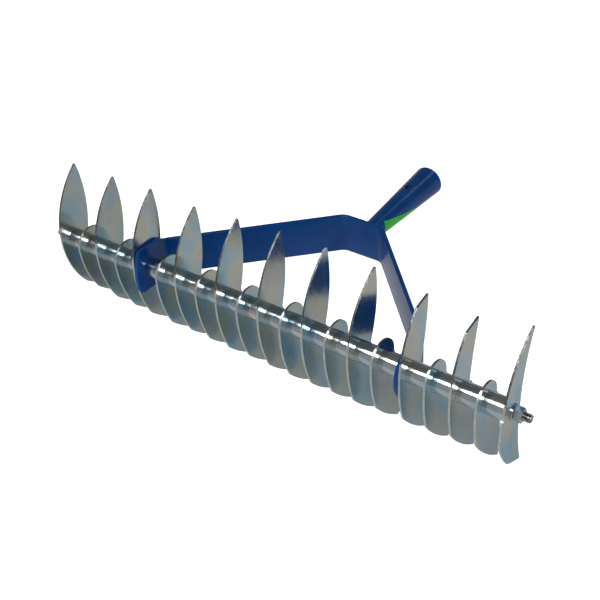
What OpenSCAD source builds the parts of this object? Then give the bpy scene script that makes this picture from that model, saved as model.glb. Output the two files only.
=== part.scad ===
// Thatching rake head: a row of sheet-steel blades on a threaded rod, carried by a
// bent flat-bar yoke with a tapered handle socket.
// It lies on the floor Z = 0 on the blades' tails and on the socket's mouth.
// X runs along the rod, Y runs back to the socket, Z is up. Millimetres.

/* [Row of blades] */
// distance from one blade to the next
pitch = 19.05; // [17:0.05:22]
// thickness of the blades' sheet
sheet = 1.6; // [1.2:0.1:2.5]
// half a blade's width beside the rod, and radius of the short blades' tops
hub_r = 14.2; // [12:0.1:16]
// height of the tines' points above the rod, before the grinding differences
tine_h = 60; // [52:0.5:66]
// how far the points stand behind the rod
point_y = 18.5; // [16:0.1:20]
// how far the tines' back edge bulges
tine_bulge = 3.9; // [2.5:0.1:5]
// radius of the front edge below the rod
front_r = 100; // [80:1:150]
// radius of the oblique bottom edge
sole_r = 100; // [70:1:200]
// radius about the rod that the tails reach
tail_reach = 64; // [58:0.5:68]
// how far the back edge of a tail stands behind the rod at its foot
tail_back = 24.5; // [22:0.1:27]
// how far the back edge of a tail bulges
tail_bulge = 3.5; // [2:0.1:5]
// how far the round top of a short blade is raised
top_rise = 2; // [0:0.1:3]
// flat ground off a tine's point
point_flat = 0.7; // [0.3:0.1:1.5]
// lean of the first blade, forward of upright
lean_first = 5.7; // [0:0.1:8]
// how much further back the last blade leans than the first
lean_twist = 11.4; // [0:0.1:14]

/* [Rod and spacers] */
// diameter of the threaded rod
rod_d = 6.35; // [5:0.05:7]
// outside diameter of a spacer
spacer_d = 15.9; // [13:0.1:17]
// free play in diameter between the rod and what is threaded over it
slip = 0.3; // [0.1:0.05:0.5]
// width of an end nut across its flats
nut_af = 9.5; // [9:0.1:12.7]
// height of an end nut
nut_h = 5.6; // [4:0.1:7]
// diameter of an end washer
washer_d = 12; // [10:0.1:18]
// thickness of an end washer
washer_t = 1.2; // [1:0.1:2]
// rod that stands out past a nut
stub = 7.4; // [4:0.1:12]
// how far the rod is drawn through towards the left
rod_shift = 1.8; // [0:0.1:2.5]

/* [Yoke] */
// thickness of the flat bar
bar_t = 3.1; // [2.5:0.1:5]
// height of the flat bar
bar_w = 31.8; // [26:0.1:34]
// how far the bar's middle lies below the rod's axis
bar_drop = 0.8; // [0:0.1:1.5]
// distance from the rod back to the bend of a leg
bend_y = 19.3; // [17:0.1:24]
// distance from the rod back to the middle of the cross piece
cross_y = 120.3; // [100:0.1:140]
// half the length of the cross piece
cross_half = 17.1; // [14:0.1:24]
// how far a lug reaches ahead of the rod
lug_front = 15.4; // [14:0.1:20]
// height of a lug's top edge above the rod
lug_top = 19.5; // [17:0.1:22]
// depth of a lug's bottom edge below the rod
lug_bottom = 17.6; // [17:0.1:20]
// radius of a lug's lower front corner
lug_round = 7; // [4:0.5:9]
// radius to which the left lug's front edge is bowed
lug_bow_left = 50; // [30:1:80]
// radius to which the right lug's front edge is bowed
lug_bow_right = 24; // [22:0.5:80]
// side play between a lug and the blade or spacer beside it
side_gap = 0.05; // [0.02:0.01:0.1]
// play in radius between the rod and a lug
lug_gap = 0.06; // [0.02:0.01:0.09]

/* [Socket] */
// length of the socket
socket_l = 95.6; // [80:0.1:120]
// radius of the socket at the yoke
socket_r0 = 6.9; // [6.5:0.1:8]
// radius of the socket at its mouth
socket_r1 = 12.3; // [12:0.1:14]
// thickness of the socket's wall
socket_wall = 1.5; // [1.2:0.1:1.8]
// radius of the straight seat for the handle at the mouth
seat_r = 10.2; // [9.5:0.1:10.3]
// depth of the straight seat
seat_l = 12; // [8:0.5:14]
// rise of the socket out of the yoke's plane
socket_rise = 1.9; // [0:0.1:6]
// distance of the screw hole from the yoke
hole_s = 65; // [50:1:75]
// radius of the screw hole
hole_r = 3; // [2:0.1:4]
// size of the weld bead around the socket's foot
bead = 2.2; // [1.5:0.1:3]
// thickness of the blank label
label_t = 0.15; // [0.1:0.05:0.3]
// distance of the label's near end from the yoke
label_s = 19; // [12:1:27]
// length of the label
label_l = 46; // [30:1:50]
// height of its near upper corner above the socket's axis
label_top = 5.7; // [3:0.1:6]
// width of the label before it is wrapped
label_w = 13; // [8:0.5:16]
// how far the label is stuck on askew
label_tilt = 12.6; // [0:0.1:15]
// how far the label starts to the right of the socket's top line
label_side = 0.5; // [0:0.1:3]

/* [Hidden] */
zinc_colour = [0.68, 0.70, 0.71];
paint_colour = [0.06, 0.18, 0.42];
label_colour = [0.16, 0.56, 0.18];
$fn = 96;
// facets of the blades' long arcs
fine = 240;
eps = 0.01;
blade_count = 21;
// the lugs stand between these blades and the spacers beside them
left_lug_blade = 4;
right_lug_blade = 16;
slot = bar_t + 2 * side_gap;
rod_r = rod_d / 2;
hole_of_blade = rod_r + slip / 2;
half_row = (blade_count - 1) / 2 * pitch + slot + sheet / 2;
half_rod = half_row + washer_t + nut_h + stub;
lug_x = (right_lug_blade - (blade_count - 1) / 2) * pitch - sheet / 2 + slot / 2;
blade_first_right = 14;
// the last blades of the row are narrower, tines more than short blades
short_share = 0.35;
tip_share = 0.45;
bulge_share = 1.2;
function narrow(i) = max(0, i - blade_first_right) * (i % 2 == 0 ? 1 : short_share);
// each tine was ground to its own height, two of them shortened by an oblique cut
tine_off = [0, -0.9, 0, -2.5, -0.8, 1.6, 1, -1.8, -7.3, -10, -2.5];
cut_slope = 0.3;
cut_from = -5;
function cut_short(i) = tine_off[i / 2] < cut_from;
function top_z(i) = tine_h + tine_off[i / 2];
function top_y(i) = point_y - tip_share * narrow(i);
function hub_back(i) = hub_r - narrow(i);
// the bottom edge of a tail, and how much higher it lies at the row's two ends
sole_a = [-6, -41];
sole_b = [20, -63];
left_tails_up = [2.5, 3.3, 1];
right_tails_step = 0.95;
function tail_up(i) = i < len(left_tails_up) ? left_tails_up[i] : max(0, i - 12) * right_tails_step;
// the last tail was cut short, its bottom edge flatter, and it swings out ahead of the hubs
last_sole_a = [-6, -39];
last_sole_b = [20, -47.8];
last_foot = 19;
last_bulge = 2.5;
tail_swing = 6.8;
last_front_a = [-hub_r - tail_swing, 0];
last_front_b = [-1.2, -40.5];
last_belly = 3.3;
last_shoulder = 6;
// the blades left of the left lug curve back more at the front
front_step = 5;
function front_below(i) = front_r - front_step * max(0, left_lug_blade - i);
function sole_bulge(a, b) = sole_r - sqrt(sole_r * sole_r - pow(norm(b - a) / 2, 2));
// the blades aren't quite in line with each other
lean_stray = 0.5;
function lean(i) =
    lean_first - lean_twist * i / (blade_count - 1) + (1 - i % 3) * lean_stray;
function side(i) = i <= left_lug_blade ? -1 : (i >= right_lug_blade ? 1 : 0);
function blade_x(i) = (i - (blade_count - 1) / 2) * pitch + side(i) * slot;
// spacers keep clear of a lug on the side where it stands
function spacer_x(i) = blade_x(i) + sheet / 2 + (i == left_lug_blade ? slot : 0);
spacer_l = pitch - sheet;
leg_run = [cross_half - lug_x, cross_y - bend_y];
leg_l = norm(leg_run);
// the middle of a lug's bowed front edge lies this far below the rod
lug_nose = 3;
// where a lug starts to slope back to the height of the bar
lug_slope_l = 9;
lug_slope_y = bend_y - lug_slope_l;
socket_taper = (socket_r1 - socket_r0) / socket_l;
// the rod lies as high above the floor as the tails reach, and the yoke slopes down
// until the lower rim of the socket's mouth touches the floor
rod_z = tail_reach;
mouth = [
    cross_y + bar_t / 2 + socket_l * cos(socket_rise), -bar_drop + socket_l * sin(socket_rise)
];
rim = socket_r1 * [sin(socket_rise), -cos(socket_rise)];
yoke_slope = asin(rod_z / norm(mouth + rim)) + atan2((mouth + rim)[1], (mouth + rim)[0]);
// shifts that centre the part on X = 0 and Y = 0
centre_x = rod_shift;
row_front = -last_front_a[0];
mouth_back = (mouth - rim) * [cos(yoke_slope), sin(yoke_slope)];
centre_y = (row_front - mouth_back) / 2;

long_blade_01();
long_blade_02();
long_blade_03();
long_blade_04();
long_blade_05();
long_blade_06();
long_blade_07();
long_blade_08();
long_blade_09();
long_blade_10();
long_blade_11();
short_blade_01();
short_blade_02();
short_blade_03();
short_blade_04();
short_blade_05();
short_blade_06();
short_blade_07();
short_blade_08();
short_blade_09();
short_blade_10();
spacer_01();
spacer_02();
spacer_03();
spacer_04();
spacer_05();
spacer_06();
spacer_07();
spacer_08();
spacer_09();
spacer_10();
spacer_11();
spacer_12();
spacer_13();
spacer_14();
spacer_15();
spacer_16();
spacer_17();
spacer_18();
spacer_19();
spacer_20();
rod();
end_washers();
end_nuts();
yoke_bar();
socket();
weld();
label();

// the yoke and the row share one frame about the rod, laid down onto the floor
module lay_down() translate([centre_x, centre_y, rod_z]) rotate([-yoke_slope, 0, 0]) children();

// turns a shape drawn in the blade's plane (Y across, Z up) to stand across the rod at x
module across(x, turn = 0) lay_down() translate([x, 0, 0]) rotate([turn, 0, 0]) children();

// a round bar along X, from x = 0
module along_x(r, l) rotate([0, 90, 0]) cylinder(r = r, h = l);

// centre of the arc from p to q that bulges by b to the right of that line, and its radius
function arc_r(p, q, b) = (pow(norm(q - p) / 2, 2) + b * b) / (2 * abs(b));
function arc_c(p, q, b) =
    (p + q) / 2 + [(q - p)[1], (p - q)[0]] / norm(q - p) * (b - sign(b) * arc_r(p, q, b));

// what lies to the front of an edge from p up to q that bulges back by b, or hollows if b < 0
module ahead_of(p, q, b) {
    if (b > 0)
        translate(arc_c(p, q, b)) circle(arc_r(p, q, b), $fn = fine);
    else
        difference() {
            polygon([p, q, [-hub_r - 1, q[1]], [-hub_r - 1, p[1]]]);
            translate(arc_c(p, q, b)) circle(arc_r(p, q, b), $fn = fine);
        }
}

// a tine above the rod: the front edge starts upright beside the rod and both edges
// are arcs that meet at the point
module tine_face(i) {
    tip = [top_y(i), top_z(i)];
    unground = cut_short(i) ? [point_y, tine_h] : tip;
    run = hub_r + unground[0];
    front = (run * run + unground[1] * unground[1]) / (2 * run);
    top = tip[1] - point_flat;
    fall = cut_short(i) ? cut_slope * (hub_r + tip[0]) : 0;
    intersection() {
        translate([front - hub_r, 0]) circle(front, $fn = fine);
        ahead_of([hub_back(i), 0], tip, tine_bulge - bulge_share * narrow(i));
        polygon([[-hub_r, 0], [2 * hub_r, 0], [2 * hub_r, top], [tip[0], top], [-hub_r, top - fall]]);
    }
}

// the half below the rod: a swept tail with an oblique bottom edge
module tail_face(i) {
    last = i == blade_count - 1;
    a = last ? last_sole_a : sole_a + [0, tail_up(i)];
    b = last ? last_sole_b : sole_b + [0, tail_up(i)];
    intersection() {
        if (last) last_front();
        else translate([front_below(i) - hub_r, 0]) circle(front_below(i), $fn = fine);
        translate(arc_c(b, a, -sole_bulge(a, b))) circle(sole_r, $fn = fine);
        if (last) ahead_of([last_foot, last_sole_b[1] - 1], [hub_back(i), 0], -last_bulge);
        else ahead_of([tail_back, -tail_reach], [hub_r, 0], tail_bulge);
        circle(tail_reach, $fn = fine);
        translate([-2 * hub_r, -tail_reach - 1]) square([4 * hub_r, tail_reach + 1]);
    }
}

// what lies behind the last tail's front edge, its shoulder below the rod rounded
module last_front() {
    difference() {
        translate(arc_c(last_front_a, last_front_b, last_belly))
            circle(arc_r(last_front_a, last_front_b, last_belly), $fn = fine);
        translate(last_front_a) mirror([0, 1]) corner_cut(last_shoulder);
    }
}

module hub_face(i) {
    intersection() {
        translate([-narrow(i) / 2, top_rise]) circle(hub_r - narrow(i) / 2);
        translate([-hub_r, 0]) square(3 * hub_r);
    }
    translate([-hub_r, 0]) square([hub_r + hub_back(i), top_rise]);
}

// stands a face across the rod as sheet, with the rod's hole through it
module blade(i) {
    across(blade_x(i), lean(i)) rotate([90, 0, 90])
        linear_extrude(sheet, center = true) difference() {
            union() {
                tail_face(i);
                children();
            }
            circle(hole_of_blade);
        }
}

module long_blade(i) blade(i) tine_face(i);

module short_blade(i) blade(i) hub_face(i);

module spacer(i) {
    across(spacer_x(i)) difference() {
        along_x(spacer_d / 2, spacer_l);
        translate([-1, 0, 0]) along_x(hole_of_blade, spacer_l + 2);
    }
}

module long_blade_01() color(zinc_colour) long_blade(0);
module long_blade_02() color(zinc_colour) long_blade(2);
module long_blade_03() color(zinc_colour) long_blade(4);
module long_blade_04() color(zinc_colour) long_blade(6);
module long_blade_05() color(zinc_colour) long_blade(8);
module long_blade_06() color(zinc_colour) long_blade(10);
module long_blade_07() color(zinc_colour) long_blade(12);
module long_blade_08() color(zinc_colour) long_blade(14);
module long_blade_09() color(zinc_colour) long_blade(16);
module long_blade_10() color(zinc_colour) long_blade(18);
module long_blade_11() color(zinc_colour) long_blade(20);
module short_blade_01() color(zinc_colour) short_blade(1);
module short_blade_02() color(zinc_colour) short_blade(3);
module short_blade_03() color(zinc_colour) short_blade(5);
module short_blade_04() color(zinc_colour) short_blade(7);
module short_blade_05() color(zinc_colour) short_blade(9);
module short_blade_06() color(zinc_colour) short_blade(11);
module short_blade_07() color(zinc_colour) short_blade(13);
module short_blade_08() color(zinc_colour) short_blade(15);
module short_blade_09() color(zinc_colour) short_blade(17);
module short_blade_10() color(zinc_colour) short_blade(19);
module spacer_01() color(zinc_colour) spacer(0);
module spacer_02() color(zinc_colour) spacer(1);
module spacer_03() color(zinc_colour) spacer(2);
module spacer_04() color(zinc_colour) spacer(3);
module spacer_05() color(zinc_colour) spacer(4);
module spacer_06() color(zinc_colour) spacer(5);
module spacer_07() color(zinc_colour) spacer(6);
module spacer_08() color(zinc_colour) spacer(7);
module spacer_09() color(zinc_colour) spacer(8);
module spacer_10() color(zinc_colour) spacer(9);
module spacer_11() color(zinc_colour) spacer(10);
module spacer_12() color(zinc_colour) spacer(11);
module spacer_13() color(zinc_colour) spacer(12);
module spacer_14() color(zinc_colour) spacer(13);
module spacer_15() color(zinc_colour) spacer(14);
module spacer_16() color(zinc_colour) spacer(15);
module spacer_17() color(zinc_colour) spacer(16);
module spacer_18() color(zinc_colour) spacer(17);
module spacer_19() color(zinc_colour) spacer(18);
module spacer_20() color(zinc_colour) spacer(19);

module rod() {
    color(zinc_colour) across(-half_rod - rod_shift) along_x(rod_r, 2 * half_rod);
}

// draws its children at the right end of the row and, turned round, at the left end
module both_ends(x) {
    lay_down() for (turn = [0, 180]) rotate([0, 0, turn]) translate([x, 0, 0]) children();
}

module end_washers() {
    color(zinc_colour) both_ends(half_row) difference() {
        along_x(washer_d / 2, washer_t);
        translate([-1, 0, 0]) along_x(hole_of_blade, washer_t + 2);
    }
}

module end_nuts() {
    color(zinc_colour) both_ends(half_row + washer_t) difference() {
        rotate([0, 90, 0]) cylinder(r = nut_af / sqrt(3), h = nut_h, $fn = 6);
        translate([-1, 0, 0]) along_x(rod_r, nut_h + 2);
    }
}

// one lug plate: deeper than the bar, sloping back to the bar's height at the bend, with
// its front edge bowed to the given radius
module lug(bow) {
    difference() {
        rotate([90, 0, 90]) translate([0, 0, -bar_t / 2]) linear_extrude(bar_t) intersection() {
            lug_blank();
            union() {
                translate([bow - lug_front, -lug_nose]) circle(bow, $fn = fine);
                translate([bow - lug_front, -bow]) square([bow, 2 * bow]);
            }
        }
        translate([-bar_t, 0, 0]) along_x(rod_r + lug_gap, 2 * bar_t);
    }
}

// a lug's outline before its front edge is bowed
module lug_blank() {
    rise = bar_w / 2 - bar_drop;
    fall = bar_w / 2 + bar_drop;
    difference() {
        polygon([
            [-lug_front, -lug_bottom], [lug_slope_y, -lug_bottom], [bend_y, -fall],
            [bend_y, rise], [lug_slope_y, lug_top], [-lug_front, lug_top]
        ]);
        translate([-lug_front, -lug_bottom]) corner_cut(lug_round);
        translate([-lug_front, lug_top]) mirror([0, 1]) corner_cut(lug_round / 2);
    }
}

// what a corner at the origin loses to a round of radius r
module corner_cut(r) {
    difference() {
        translate([-1, -1]) square(r + 1);
        translate([r, r]) circle(r);
    }
}

// corner offset of a bar that turns from outward normal a to outward normal b
function mitre(a, b) = (a + b) / (1 + a * b) * bar_t / 2;
// the same points mirrored to the other side, in reverse order
function flip(p) = [for (k = [len(p) - 1:-1:0]) [-p[k][0], p[k][1]]];

// the bent bar seen from above
module bar_plan() {
    out_lug = [1, 0];
    out_leg = [leg_run[1], -leg_run[0]] / leg_l;
    bend = mitre(out_lug, out_leg);
    corner = mitre(out_leg, [0, 1]);
    start = [lug_x, lug_slope_y];
    outer = [start + out_lug * bar_t / 2, [lug_x, bend_y] + bend, [cross_half, cross_y] + corner];
    inner = [[cross_half, cross_y] - corner, [lug_x, bend_y] - bend, start - out_lug * bar_t / 2];
    polygon(concat(outer, flip(outer), flip(inner), inner));
}

module yoke_bar() {
    color(paint_colour) lay_down() {
        translate([lug_x, 0, 0]) lug(lug_bow_right);
        translate([-lug_x, 0, 0]) lug(lug_bow_left);
        translate([0, 0, -bar_w / 2 - bar_drop]) linear_extrude(bar_w) bar_plan();
    }
}

// the socket's own frame: its axis is Z, from the bar's back face, and -Y is its top
module on_socket() {
    lay_down() translate([0, cross_y + bar_t / 2, -bar_drop])
        rotate([socket_rise - 90, 0, 0]) children();
}

// everything on the yoke's side of the bar's back face
module bar_side() {
    block = 4 * socket_r1;
    lay_down() translate([-block / 2, cross_y + bar_t / 2 - block, -block / 2]) cube(block);
}

module cone(r0, r1, l) translate([0, 0, -1]) cylinder(r1 = r0 - (r1 - r0) / l, r2 = r1, h = l + 1);

module socket() {
    color(paint_colour) difference() {
        on_socket() difference() {
            cone(socket_r0, socket_r1, socket_l);
            translate([0, 0, -1]) cylinder(
                r1 = socket_r0 - socket_wall - socket_taper,
                r2 = socket_r1 - socket_wall - socket_taper * (seat_l - 1), h = socket_l - seat_l + 1);
            translate([0, 0, socket_l - seat_l - eps]) cylinder(r = seat_r, h = seat_l + 1);
            translate([0, 0, hole_s]) rotate([90, 0, 0]) cylinder(r = hole_r, h = 2 * socket_r1);
        }
        bar_side();
    }
}

module weld() {
    color(paint_colour) difference() {
        on_socket() difference() {
            translate([0, 0, -1])
                cylinder(r1 = socket_r0 + bead + 1, r2 = socket_r0 + socket_taper * bead, h = bead + 1);
            cone(socket_r0, socket_r1, socket_l);
        }
        bar_side();
    }
}

// a thin blank wrap on the socket's right side, its upper edge cut on a slant
module label() {
    color(label_colour) on_socket() intersection() {
        difference() {
            cone(socket_r0 + label_t, socket_r1 + label_t, socket_l);
            cone(socket_r0, socket_r1, socket_l);
        }
        translate([label_side, -label_top, label_s]) rotate([-label_tilt, 0, 0])
            cube([socket_r1 + 5, label_w, label_l]);
    }
}
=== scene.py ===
import math

import bpy
import numpy as np
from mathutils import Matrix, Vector


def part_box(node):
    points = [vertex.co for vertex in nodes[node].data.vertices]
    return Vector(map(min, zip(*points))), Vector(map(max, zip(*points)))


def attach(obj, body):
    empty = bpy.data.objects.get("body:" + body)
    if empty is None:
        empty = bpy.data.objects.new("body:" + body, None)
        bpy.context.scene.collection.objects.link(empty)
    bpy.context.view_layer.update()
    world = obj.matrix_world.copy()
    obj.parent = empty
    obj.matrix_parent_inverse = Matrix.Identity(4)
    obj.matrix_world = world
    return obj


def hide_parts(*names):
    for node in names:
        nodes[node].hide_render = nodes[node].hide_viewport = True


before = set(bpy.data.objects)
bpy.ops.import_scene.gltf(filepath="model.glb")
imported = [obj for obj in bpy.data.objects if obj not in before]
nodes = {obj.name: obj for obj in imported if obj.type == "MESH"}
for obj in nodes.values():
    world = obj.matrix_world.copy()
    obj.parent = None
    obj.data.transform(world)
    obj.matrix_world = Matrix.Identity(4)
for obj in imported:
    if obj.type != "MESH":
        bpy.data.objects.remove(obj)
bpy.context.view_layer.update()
print("frame loaded")

# the part lies on the floor: the rod's axis and the slope of the yoke, as in the frame
lying = {"slope": math.radians(14.461), "centre": (0.0018, -0.096388, 0.064)}
rodX, rodY, rodZ = lying["centre"]


def lay(p):
    # Points drawn about the rod (X along it, Y back, Z up from the yoke) are turned down by
    # the slope round the rod and moved to the rod's place.
    c, s = math.cos(lying["slope"]), math.sin(lying["slope"])
    x, y, z = np.moveaxis(np.asarray(p, float), -1, 0)
    return np.stack([x + rodX, y * c + z * s + rodY, -y * s + z * c + rodZ], -1)


def surface(name, grid, material, body, capped=False, keep=(), crease=35):
    # A closed surface from a grid of points: each row is a ring, and quads join it to the next
    # row. The last row joins the first, or both ends get a cap. Where the volume under the
    # quads comes out negative, the normals are flipped outwards.
    rows, ring = grid.shape[:2]
    joins = rows - 1 if capped else rows
    r = np.arange(joins)[:, None]
    c = np.arange(ring)[None, :]
    r2, c2 = (r + 1) % rows, (c + 1) % ring
    quads = np.stack([r * ring + c, r2 * ring + c, r2 * ring + c2, r * ring + c2], -1).reshape(-1, 4)
    faces = quads.tolist()
    if capped:
        faces.append(list(range(ring)))
        faces.append(list(range(rows * ring - 1, (rows - 1) * ring - 1, -1)))
    p = grid.reshape(-1, 3)
    mesh = bpy.data.meshes.new(name)
    mesh.from_pydata(p, [], faces)
    v = p[quads]
    volume = np.einsum("ij,ij->i", v[:, 0], np.cross(v[:, 1], v[:, 2])).sum()
    volume += np.einsum("ij,ij->i", v[:, 0], np.cross(v[:, 2], v[:, 3])).sum()
    if volume < 0:
        mesh.flip_normals()
    mesh.polygons.foreach_set("use_smooth", [True] * len(mesh.polygons))
    mesh.set_sharp_from_angle(angle=math.radians(crease))
    mesh.materials.append(material)
    obj = bpy.data.objects.new(name, mesh)
    bpy.context.scene.collection.objects.link(obj)
    if keep:
        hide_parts(*keep)
    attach(obj, body)
    return obj


def turned(xs, rs, x0, segments, wave=None):
    # A profile turned about the rod: x from x0 along the rod, r out from it. A wave changes r
    # from the place along the rod, the angle and r.
    a = np.linspace(0, 2 * np.pi, segments, endpoint=False)
    xs, rs = np.asarray(xs, float), np.asarray(rs, float)
    r = np.repeat(rs[:, None], segments, 1)
    if wave is not None:
        r = wave(xs[:, None], a[None, :], r)
    x = np.repeat(xs[:, None], segments, 1) + x0
    return lay(np.stack([x, -r * np.cos(a), r * np.sin(a)], -1))


# colours and materials


def rgb(text):
    # sRGB hex to linear, with full alpha
    v = [int(text[i : i + 2], 16) / 255 for i in (0, 2, 4)]
    return [c / 12.92 if c <= 0.04045 else ((c + 0.055) / 1.055) ** 2.4 for c in v] + [1.0]


def put(tree, kind, links=None, values=None, **settings):
    # Adds a node with its settings, its fixed inputs and its links.
    n = tree.nodes.new(kind)
    for k, v in settings.items():
        setattr(n, k, v)
    for k, v in (values or {}).items():
        n.inputs[k].default_value = v
    for k, v in (links or {}).items():
        tree.links.new(v, n.inputs[k])
    return n


def cloudy(tree, patch, stretch=(1, 1, 1), detail=3, rough=0.5):
    # A cloudy level from 0 to 1 in object space: a patch is so many mm across, and less along
    # an axis whose stretch is above 1.
    place = put(tree, "ShaderNodeTexCoord").outputs["Object"]
    place = put(tree, "ShaderNodeMapping", {"Vector": place}, {"Scale": stretch}).outputs[0]
    values = {"Scale": 1000 / patch, "Detail": detail, "Roughness": rough, "Distortion": 0.0}
    return put(tree, "ShaderNodeTexNoise", {"Vector": place}, values).outputs["Fac"]


def follow(tree, level, stops):
    # Colours or plain values that follow a level, from (level, hex or value) stops.
    n = put(tree, "ShaderNodeValToRGB", {"Fac": level})
    e = n.color_ramp.elements
    while len(e) < len(stops):
        e.new(0.5)
    for k, (at, c) in enumerate(stops):
        e[k].position = at
        e[k].color = rgb(c) if isinstance(c, str) else (c, c, c, 1)
    return n.outputs["Color"]


def plain(name, **values):
    # A material with the given values on its shader.
    m = bpy.data.materials.new(name)
    m.use_nodes = True
    for k, v in values.items():
        m.node_tree.nodes["Principled BSDF"].inputs[k.replace("_", " ")].default_value = v
    return m


def finish(name, look, **values):
    # A material from its look: the tone and the gloss each follow a cloudy level, and each
    # relief (cloudy level, strength, depth in metres) lies on the one before.
    m = plain(name, **values)
    t = m.node_tree
    inputs = t.nodes["Principled BSDF"].inputs
    for layer, socket in (("tone", "Base Color"), ("gloss", "Roughness")):
        if layer in look:
            level, stops = look[layer]
            t.links.new(follow(t, cloudy(t, *level), stops), inputs[socket])
    under = {}
    for level, strength, depth in look.get("relief", []):
        links = {"Height": cloudy(t, *level), **under}
        values = {"Strength": strength, "Distance": depth}
        under = {"Normal": put(t, "ShaderNodeBump", links, values).outputs["Normal"]}
    if under:
        t.links.new(under["Normal"], inputs["Normal"])
    return m


# rolled sheet with bright zinc plate: a grey mirror with streaks along the rolling, a haze in
# faint colours and a slight buckle; the grain is drawn coarser than real, so that it shows
haze = [(0.30, "a9d4de"), (0.44, "c6d8e0"), (0.58, "d8d9c6"), (0.72, "c8cce6")]
sheetLook = {
    "tone": ((16.7, (1.8, 1, 0.6)), haze),
    "gloss": ((11.1, (1, 6, 0.8), 5, 0.6), [(0.3, 0.14), (0.7, 0.26)]),
    "relief": [((38.5, (1, 1, 1), 1), 0.2, 0.0012), ((1.43, (1, 4, 0.5)), 0.02, 0.0002)],
}
zincSheet = finish("zincSheet", sheetLook, Metallic=1.0)

# painted shade: below the rod the sheet is tinted a little darker and bluer, fading out between the low
# and the high height
shadeBelowRod = {"low": 0.045, "high": 0.075, "tone": "ebf3fa"}
t = zincSheet.node_tree
colour = t.nodes["Principled BSDF"].inputs["Base Color"]
place = put(t, "ShaderNodeTexCoord").outputs["Object"]
height = put(t, "ShaderNodeSeparateXYZ", {0: place}).outputs[2]
reach = {"From Min": shadeBelowRod["low"], "From Max": shadeBelowRod["high"]}
level = put(t, "ShaderNodeMapRange", {"Value": height}, reach).outputs[0]
# the painted shade's tint, multiplied into the sheet's colour below the rod
paintedShade = follow(t, level, [(0, shadeBelowRod["tone"]), (1, "ffffff")])
links = {0: colour.links[0].from_socket, 1: paintedShade}
t.links.new(put(t, "ShaderNodeVectorMath", links, operation="MULTIPLY").outputs[0], colour)

# the plated cut edge of the sheet: pale, rougher, with cross scratches drawn coarser than real
cutEdgeLook = {
    "tone": ((3.33, (4, 1, 1), 4), [(0.3, "bac8c4"), (0.7, "e6ece8")]),
    "gloss": ((2, (6, 1, 1)), [(0.3, 0.3), (0.7, 0.5)]),
    "relief": [((1.11, (6, 1, 1)), 0.2, 0.0002)],
}
cutEdge = finish("cutEdge", cutEdgeLook, Metallic=1.0)

# the tines' sheared edge: dark and torn, with paler nicks
shearedEdgeLook = {
    "tone": ((2.38, (3, 1, 1), 4), [(0.4, "5a5f5d"), (0.7, "a4a6a0")]),
    "gloss": ((2, (6, 1, 1)), [(0.3, 0.3), (0.7, 0.55)]),
    "relief": [((1.25, (3, 1, 1)), 0.5, 0.0004)],
}
shearedEdge = finish("shearedEdge", shearedEdgeLook, Metallic=1.0)

# drawn tube with bright zinc plate: nearly a mirror, with faint draw marks and a slight wave
tubeLook = {
    "tone": ((16.7,), [(0.35, "bcd2e2"), (0.65, "dcdcd9")]),
    "gloss": ((6.25, (0.3, 3, 3)), [(0.3, 0.10), (0.7, 0.19)]),
    "relief": [((22.2, (2, 1, 1), 1), 0.08, 0.0008)],
}
zincTube = finish("zincTube", tubeLook, Metallic=1.0)

# plated screw thread: grey in cloudy patches, some darker and duller
threadLook = {
    "tone": ((2.5, (1, 1, 1), 4), [(0.35, "6a6b68"), (0.65, "c9cac8")]),
    "gloss": ((3.33,), [(0.3, 0.15), (0.7, 0.3)]),
}
zincThread = finish("zincThread", threadLook, Metallic=1.0)

# deep blue enamel over steel: glossy, with slight orange peel on a slow wave of the bar
enamelLook = {
    "tone": ((25, (1, 1, 1), 4), [(0.3, "033065"), (0.7, "053b78")]),
    "relief": [((2.38, (1, 1, 1), 2), 0.05, 0.0004), ((16.7, (1, 1, 1), 2), 0.10, 0.001)],
}
enamel = finish("enamel", enamelLook, Roughness=0.14, IOR=1.40)

# green film: even colour, soft gloss, faint grain
filmLook = {
    "tone": ((12.5,), [(0.3, "1f9a2a"), (0.7, "2aac33")]),
    "relief": [((1.25, (1, 1, 1), 2), 0.05, 0.0002)],
}
film = finish("greenFilm", filmLook, Roughness=0.45, IOR=1.35)
print("materials made")

# frame nodes that stay: blades, socket and label get their finish, and the sharp edges of the
# blades and the socket are broken

edges = {"blade": 0.0002, "socket": 0.0003, "segments": 2, "sharp": 40, "tineFrom": 0.014, "flat": 0.7}


def dress(node, materials, edge=0.0, pick=None):
    # Puts materials on a node of the frame: pick gives each face the number of its material.
    mesh = node.data
    mesh.materials.clear()
    for m in materials:
        mesh.materials.append(m)
    if pick is not None:
        n, c = np.empty(len(mesh.polygons) * 3), np.empty(len(mesh.polygons) * 3)
        mesh.polygons.foreach_get("normal", n)
        mesh.polygons.foreach_get("center", c)
        which = pick(n.reshape(-1, 3), c.reshape(-1, 3))
        mesh.polygons.foreach_set("material_index", which.astype(np.int32))
    if edge:
        b = node.modifiers.new("brokenEdge", "BEVEL")
        b.width = edge
        b.segments = edges["segments"]
        b.limit_method = "ANGLE"
        b.angle_limit = math.radians(edges["sharp"])


def edgeOfBlade(n, c):
    # 0 where the normal runs along the rod, 2 on the tine's edge, which starts at a height
    # above the rod that is measured square to the yoke, and 1 on the rest of the edge
    up = (c[:, 1] - rodY) * math.sin(lying["slope"]) + (c[:, 2] - rodZ) * math.cos(lying["slope"])
    return np.where(np.abs(n[:, 0]) > edges["flat"], 0, np.where(up > edges["tineFrom"], 2, 1))


for name, node in nodes.items():
    if "blade" in name:
        dress(node, [zincSheet, cutEdge, shearedEdge], edges["blade"], edgeOfBlade)
dress(nodes["socket"], [enamel], edges["socket"])
dress(nodes["label"], [film])
print("frame nodes dressed")

# spacers: a tube's section with its outer corners rounded by quarter arcs, turned about the rod

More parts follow.
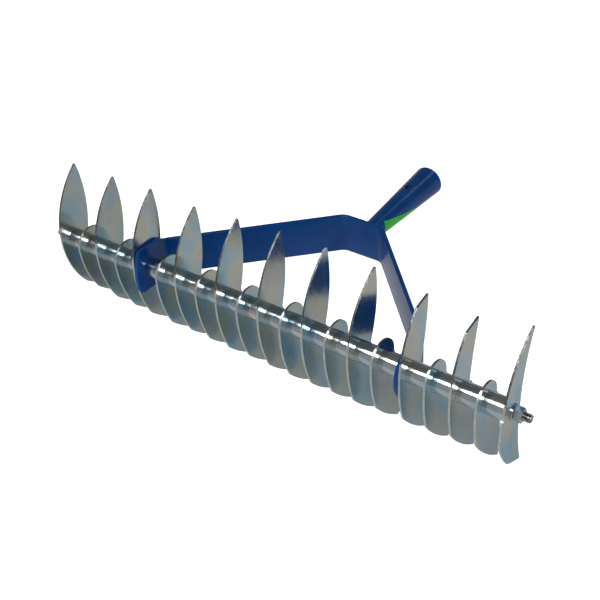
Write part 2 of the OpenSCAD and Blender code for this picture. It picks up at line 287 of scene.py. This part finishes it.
tube = {"outer": 0.00795, "inner": 0.00335, "round": 0.00015, "steps": 5, "segments": 128}
q = tube["round"]
a = np.linspace(0, np.pi / 2, tube["steps"])
for name in sorted(n for n in nodes if n.startswith("spacer_")):
    lo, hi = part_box(name)
    length = hi[0] - lo[0]
    xs = np.concatenate([q - q * np.cos(a), length - q + q * np.sin(a), [length, 0]])
    out = np.concatenate([q * np.sin(a), q * np.cos(a)]) - q + tube["outer"]
    rs = np.concatenate([out, [tube["inner"]] * 2])
    grid = turned(xs, rs, lo[0] - rodX, tube["segments"])
    tubeName = name.replace("spacer", "tube")
    surface(tubeName, grid, zincTube, "head", keep=[name])
print("spacers turned")

# rod: plain in the middle, a rolled thread near its ends, and the ends chamfered

rod = {
    "radius": 0.003175,
    "core": 0.0026,
    "pitch": 0.00127,
    "thread": 0.019,
    "fade": 0.001,
    "root": 1.15,
    "flank": 1.3,
    "step": 0.00016,
    "segments": 48,
    "crease": 50,
}
lo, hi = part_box("rod")
length = hi[0] - lo[0]
depth = rod["radius"] - rod["core"]
endXs = np.arange(depth, rod["thread"], rod["step"])
xs = np.concatenate([[0, 0], endXs, length - endXs[::-1], [length, length]])
rs = np.concatenate([[0, rod["core"]], [rod["radius"]] * (2 * len(endXs)), [rod["core"], 0]])


def rolled(x, a, r):
    # The place along the rod in pitches plus the angle in turns tells where a point lies
    # between two crests; flanks fall straight from there to the root, and fade out inwards.
    turn = np.abs(((x / rod["pitch"] + a / (2 * np.pi)) % 1.0) - 0.5) * 2
    near = np.clip((rod["thread"] - np.minimum(x, length - x)) / rod["fade"], 0, 1)
    cut = depth * np.clip(rod["root"] - rod["flank"] * turn, 0, 1) * near
    return np.where(r >= rod["radius"] - 1e-9, r - cut, r)


grid = turned(xs, rs, lo[0] - rodX, rod["segments"], rolled)
surface("threadedRod", grid, zincThread, "head", True, ["rod"], rod["crease"])

# nuts and washers: a hexagon with its corners turned off at an angle, and a stamped ring

nut = {
    "flats": 0.0095,
    "height": 0.0056,
    "bore": 0.00318,
    "lead": 0.0004,
    "face": 0.0090,
    "corner": math.radians(30),
    "segments": 144,
    "crease": 25,
}
washer = {"outer": 0.006, "inner": 0.00335, "thick": 0.0012, "round": 0.0003, "segments": 96}


def nutGrid(x0):
    # Eight rings from bore to bore. The hexagon's radius is half the flats over the cosine of
    # the angle from the nearest flat, and its corners drop with the cone of the turned face.
    h, n, b, lead = nut["height"], nut["segments"], nut["bore"], nut["lead"]
    a = np.linspace(0, 2 * np.pi, n, endpoint=False)
    hexagon = nut["flats"] / 2 / np.cos((a % (np.pi / 3)) - np.pi / 6)
    face = nut["face"] / 2
    drop = np.maximum(hexagon - face, 0) * math.tan(nut["corner"])
    one = np.ones(n)
    xs = [one * lead, one * 0, one * 0, drop, h - drop, one * h, one * h, one * (h - lead)]
    outer, mouth = [one * face, hexagon, hexagon, one * face], one * (b + lead)
    x, r = np.array(xs) + x0, np.array([one * b, mouth, *outer, mouth, one * b])
    return lay(np.stack([x, -r * np.cos(a), r * np.sin(a)], -1))


nutBox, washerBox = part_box("end_nuts"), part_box("end_washers")
rightNut, rightWasher = nutBox[1][0] - nut["height"], washerBox[1][0] - washer["thick"]
q, thick = washer["round"], washer["thick"]
xs = [0, 0, q, thick - q, thick, thick]
rs = [washer["inner"], washer["outer"] - q, washer["outer"]]
rs = rs + rs[::-1]
for side, nutX, washerX in (("Left", nutBox[0][0], washerBox[0][0]), ("Right", rightNut, rightWasher)):
    grid = nutGrid(nutX - rodX)
    surface(f"nut{side}", grid, zincTube, "head", crease=nut["crease"])
    grid = turned(xs, rs, washerX - rodX, washer["segments"])
    surface(f"washer{side}", grid, zincTube, "head")
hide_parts("end_nuts")
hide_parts("end_washers")
print("rod, nuts and washers made")

# yoke bar: one flat bar carried along its bent centre line; its section is a rectangle with
# rounded corners, and near its ends it grows into the lugs with their rounded front corners

bar = {
    "thick": 0.0031,
    "high": 0.0318,
    "drop": 0.0008,
    "lugX": 0.11495,
    "bendY": 0.0193,
    "crossY": 0.1203,
    "crossHalf": 0.0171,
    "front": 0.0154,
    "lugTop": 0.0195,
    "lugLow": 0.0176,
    "slopeFrom": 0.0103,
    "roundLow": 0.007,
    "roundTop": 0.0035,
    "nose": -0.003,
    "bowRight": 0.024,
    "bowLeft": 0.050,
    "noseRun": 0.009,
    "noseSteps": 15,
    "lugStop": 0.004,
    "lugSteps": 12,
    "bendRadius": 0.010,
    "bendSteps": 11,
    "runStop": 0.008,
    "runSteps": 8,
    "edge": 0.0007,
    "edgeSteps": 5,
    "crease": 30,
}


def bentPath():
    # Centre line from the right lug's front edge to the left one's: straight runs, and at each
    # corner an arc that touches both runs. Its points crowd towards the lugs' front edges.
    b = bar
    right = [(b["lugX"], -b["front"]), (b["lugX"], b["bendY"]), (b["crossHalf"], b["crossY"])]
    corners = np.concatenate([right, np.array(right[::-1]) * [-1, 1]])
    first, second = corners[0], corners[1]
    nose = b["noseRun"] * (1 - np.cos(np.linspace(0, np.pi / 2, b["noseSteps"])))
    rest = np.linspace(b["noseRun"], second[1] - first[1] - b["lugStop"], b["lugSteps"])[1:]
    lug = np.concatenate([nose, rest])
    pts = [first + [0, u] for u in lug]
    for k in (1, 2, 3, 4):
        p0, p1, p2 = corners[k - 1], corners[k], corners[k + 1]
        a = (p1 - p0) / np.linalg.norm(p1 - p0)
        c = (p2 - p1) / np.linalg.norm(p2 - p1)
        turn = math.acos(np.clip(a @ c, -1, 1))
        radius = b["bendRadius"]
        side = np.array([-a[1], a[0]]) * np.sign(a[0] * c[1] - a[1] * c[0])
        centre = p1 - a * radius * math.tan(turn / 2) + side * radius
        for f in np.linspace(0, turn, b["bendSteps"]):
            pts.append(centre - side * radius * math.cos(f) + a * radius * math.sin(f))
        if k < 4:
            start, end = p1 + c * b["runStop"], p2 - c * b["runStop"]
            pts += [start + (end - start) * f for f in np.linspace(0, 1, b["runSteps"])]
    pts += [np.array([-1, 1]) * (first + [0, u]) for u in lug[::-1]]
    return np.array(pts)


def barHeights(y, x):
    # Top and bottom of the bar at each point of its centre line: level along the yoke, straight
    # slopes to the lug's heights, quarter arcs at its front corners, all within its bowed front.
    b = bar
    top0, low0 = b["high"] / 2 - b["drop"], -b["high"] / 2 - b["drop"]
    f = np.clip((b["bendY"] - y) / (b["bendY"] - b["slopeFrom"]), 0, 1)
    u = y + b["front"]

    def corner(r):
        w = np.clip(r - u, 0, r)
        return r - np.sqrt(np.maximum(r * r - w * w, 0))

    top = top0 + (b["lugTop"] - top0) * f - corner(b["roundTop"])
    low = low0 - (b["lugLow"] + low0) * f + corner(b["roundLow"])
    bow = np.where(x > 0, b["bowRight"], b["bowLeft"])
    half = np.sqrt(np.maximum(bow * bow - np.maximum(bow - u, 0) ** 2, 0))
    return np.minimum(top, b["nose"] + half), np.maximum(low, b["nose"] - half)


path = bentPath()
along = np.gradient(path, axis=0)
along /= np.linalg.norm(along, axis=1)[:, None]
outward = np.stack([along[:, 1], -along[:, 0]], 1)
top, low = barHeights(path[:, 1], path[:, 0])
run = np.concatenate([[0], np.cumsum(np.linalg.norm(np.diff(path, axis=0), axis=1))])

# the section: an arc at each of its four corners, two at the top and two at the bottom
e, flank = bar["edge"], bar["thick"] / 2 - bar["edge"]
a = np.linspace(0, np.pi / 2, bar["edgeSteps"])
c, s = e * np.cos(a), e * np.sin(a)
sideways = np.concatenate([flank + c, -flank - s, -flank - c, flank + s])
fromTop = np.concatenate([s - e, c - e, 0 * a, 0 * a])
fromLow = np.concatenate([0 * a, 0 * a, e - s, e - c])
isTop = np.arange(4 * bar["edgeSteps"]) < 2 * bar["edgeSteps"]

# the rounding runs in from the outline at right angles to it
topSlope, lowSlope = np.gradient(top, run)[:, None], np.gradient(low, run)[:, None]
topUp, lowUp = 1 / np.sqrt(1 + topSlope**2), 1 / np.sqrt(1 + lowSlope**2)
z = np.where(isTop, top[:, None] + fromTop * topUp, low[:, None] + fromLow * lowUp)
shift = np.where(isTop, -fromTop * topSlope * topUp, -fromLow * lowSlope * lowUp)
xy = path[:, None, :] + outward[:, None, :] * sideways[None, :, None]
xy = xy + along[:, None, :] * shift[..., None]
barGrid = lay(np.concatenate([xy, z[..., None]], -1))
surface("bentBar", barGrid, enamel, "yoke", True, ["yoke_bar"], bar["crease"])
print("yoke bar swept")

# weld: a ring round the socket's foot, of a bead whose size ripples and drifts as it was laid

weld = {
    "ring": 0.0080,
    "bead": 0.0021,
    "ripples": 26,
    "low": 0.80,
    "ripple": 0.14,
    "pinch": 0.7,
    "drift": 0.06,
    "flat": 0.9,
    "steps": 260,
    "segments": 20,
    "crease": 60,
}
a = np.linspace(0, 2 * np.pi, weld["steps"], endpoint=False)[:, None]
g = np.linspace(0, 2 * np.pi, weld["segments"], endpoint=False)[None, :]
ripple = np.abs(np.sin(a * weld["ripples"] / 2)) ** weld["pinch"]
size = weld["low"] + weld["ripple"] * ripple + weld["drift"] * np.sin(a * 3 + 1)
size = size * weld["bead"] * weld["flat"]
r = weld["ring"] + size * np.cos(g)
y = bar["crossY"] + bar["thick"] / 2 + size * np.sin(g)
ring = np.stack([r * np.cos(a), y, r * np.sin(a) - bar["drop"]], -1)
surface("weldBead", lay(ring), enamel, "yoke", False, ["weld"], weld["crease"])
print("weld laid")

# stage, light and camera

stage = {"half": 4, "floor": -0.0002, "mirrored": -0.0005, "foot": -0.01, "tent": 4, "sides": 32}


def stagePiece(name, points, faces, material, **seen):
    # A flat-sided stage piece, seen by the kinds of ray that are not switched off.
    mesh = bpy.data.meshes.new(name)
    mesh.from_pydata(points, [], faces)
    mesh.materials.append(material)
    obj = bpy.data.objects.new(name, mesh)
    for k, v in seen.items():
        setattr(obj, "visible_" + k, v)
    bpy.context.scene.collection.objects.link(obj)
    return obj


def square(z):
    h = stage["half"]
    return [(-h, -h, z), (h, -h, z), (h, h, z), (-h, h, z)]


# white paper that glows, so that it stays white under the part
glowing = {"Emission_Color": rgb("ffffff"), "Emission_Strength": 1.0, "Specular_IOR_Level": 0.0}
paper = plain("paper", Base_Color=rgb("bcbcbc"), Roughness=0.9, **glowing)
stagePiece("floor", square(stage["floor"]), [(0, 1, 2, 3)], paper, glossy=False, shadow=False)

# what the metal mirrors of that paper: a grey sheet without the glow, so the shadow shows
matt = plain("mirroredPaper", Base_Color=rgb("8a8a8a"), Roughness=0.9, Specular_IOR_Level=0.0)
hidden = {"camera": False, "diffuse": False, "shadow": False}
stagePiece("mirroredFloor", square(stage["mirrored"]), [(0, 1, 2, 3)], matt, **hidden)

# a round white tent behind it all, for the camera only
glow = plain("backdrop", Base_Color=rgb("000000"), Roughness=1.0, **glowing)
n = stage["sides"]
a = np.linspace(0, 2 * np.pi, n, endpoint=False)
x, y = stage["half"] * np.cos(a), stage["half"] * np.sin(a)
levels = (stage["foot"], stage["foot"] + stage["tent"])
tent = np.concatenate([np.stack([x, y, 0 * a + z], 1) for z in levels])
wall = [(k, (k + 1) % n, n + (k + 1) % n, n + k) for k in range(n)] + [tuple(range(n, 2 * n))]
stagePiece("backdrop", tent.tolist(), wall, glow, glossy=False, diffuse=False, shadow=False)

# one long soft box over the floor ahead, which draws the bright line on the tubes
key = {"at": (0.10, -0.54, 1.26), "to": (0.10, -0.54, 0), "size": (1.4, 0.46), "power": 18}
box = bpy.data.lights.new("topBox", "AREA")
box.shape = "RECTANGLE"
box.size, box.size_y = key["size"]
box.energy = key["power"]
lamp = bpy.data.objects.new("topBox", box)
lamp.location = key["at"]
aim = Vector(key["to"]) - Vector(key["at"])
lamp.rotation_euler = aim.to_track_quat("-Z", "Y").to_euler()
bpy.context.scene.collection.objects.link(lamp)

# the dim room that the metal mirrors: toward each direction, light of that colour rises
# smoothly from one closeness to the other, first over the floor ahead, then in a small window
room = {
    "base": ("ffffff", 0.12),
    "patches": [
        {"toward": (0.0, -1.0, 0.15), "from": 0.60, "full": 0.86, "colour": "ffffff", "bright": 0.18},
        {"toward": (0.207, 0.84, 0.507), "from": 0.985, "full": 0.9976, "colour": "e0eaff", "bright": 1.5},
    ],
}
world = bpy.data.worlds.new("studio")
world.use_nodes = True
t = world.node_tree
look = put(t, "ShaderNodeTexCoord").outputs["Generated"]
tone, bright = room["base"]
total = put(t, "ShaderNodeVectorMath", None, {0: [c * bright for c in rgb(tone)[:3]]})
for q in room["patches"]:
    toward = {1: Vector(q["toward"]).normalized()}
    near = put(t, "ShaderNodeVectorMath", {0: look}, toward, operation="DOT_PRODUCT")
    rise = {"From Min": q["from"], "From Max": q["full"], "To Min": 0.0, "To Max": q["bright"]}
    links = {"Value": near.outputs["Value"]}
    lift = put(t, "ShaderNodeMapRange", links, rise, interpolation_type="SMOOTHSTEP")
    links = {0: lift.outputs["Result"], 2: total.outputs["Vector"]}
    colour = {1: rgb(q["colour"])[:3]}
    total = put(t, "ShaderNodeVectorMath", links, colour, operation="MULTIPLY_ADD")
t.links.new(total.outputs["Vector"], t.nodes["Background"].inputs["Color"])
bpy.context.scene.world = world

camera = {
    "at": (0.4504920, -0.4906843, 0.6954292),
    "turn": (0.8961143, 0.3177406, 0.1931767, 0.2422866),
    "lens": 73.088,
    "sensor": 36,
    "clip": (0.01, 50),
}
cam = bpy.data.cameras.new("camera")
cam.lens = camera["lens"]
cam.sensor_width = camera["sensor"]
cam.clip_start, cam.clip_end = camera["clip"]
eye = bpy.data.objects.new("camera", cam)
eye.rotation_mode = "QUATERNION"
eye.location = camera["at"]
eye.rotation_quaternion = camera["turn"]
bpy.context.scene.collection.objects.link(eye)
bpy.context.scene.camera = eye
bpy.context.scene.view_settings.view_transform = "Standard"
print("stage set")
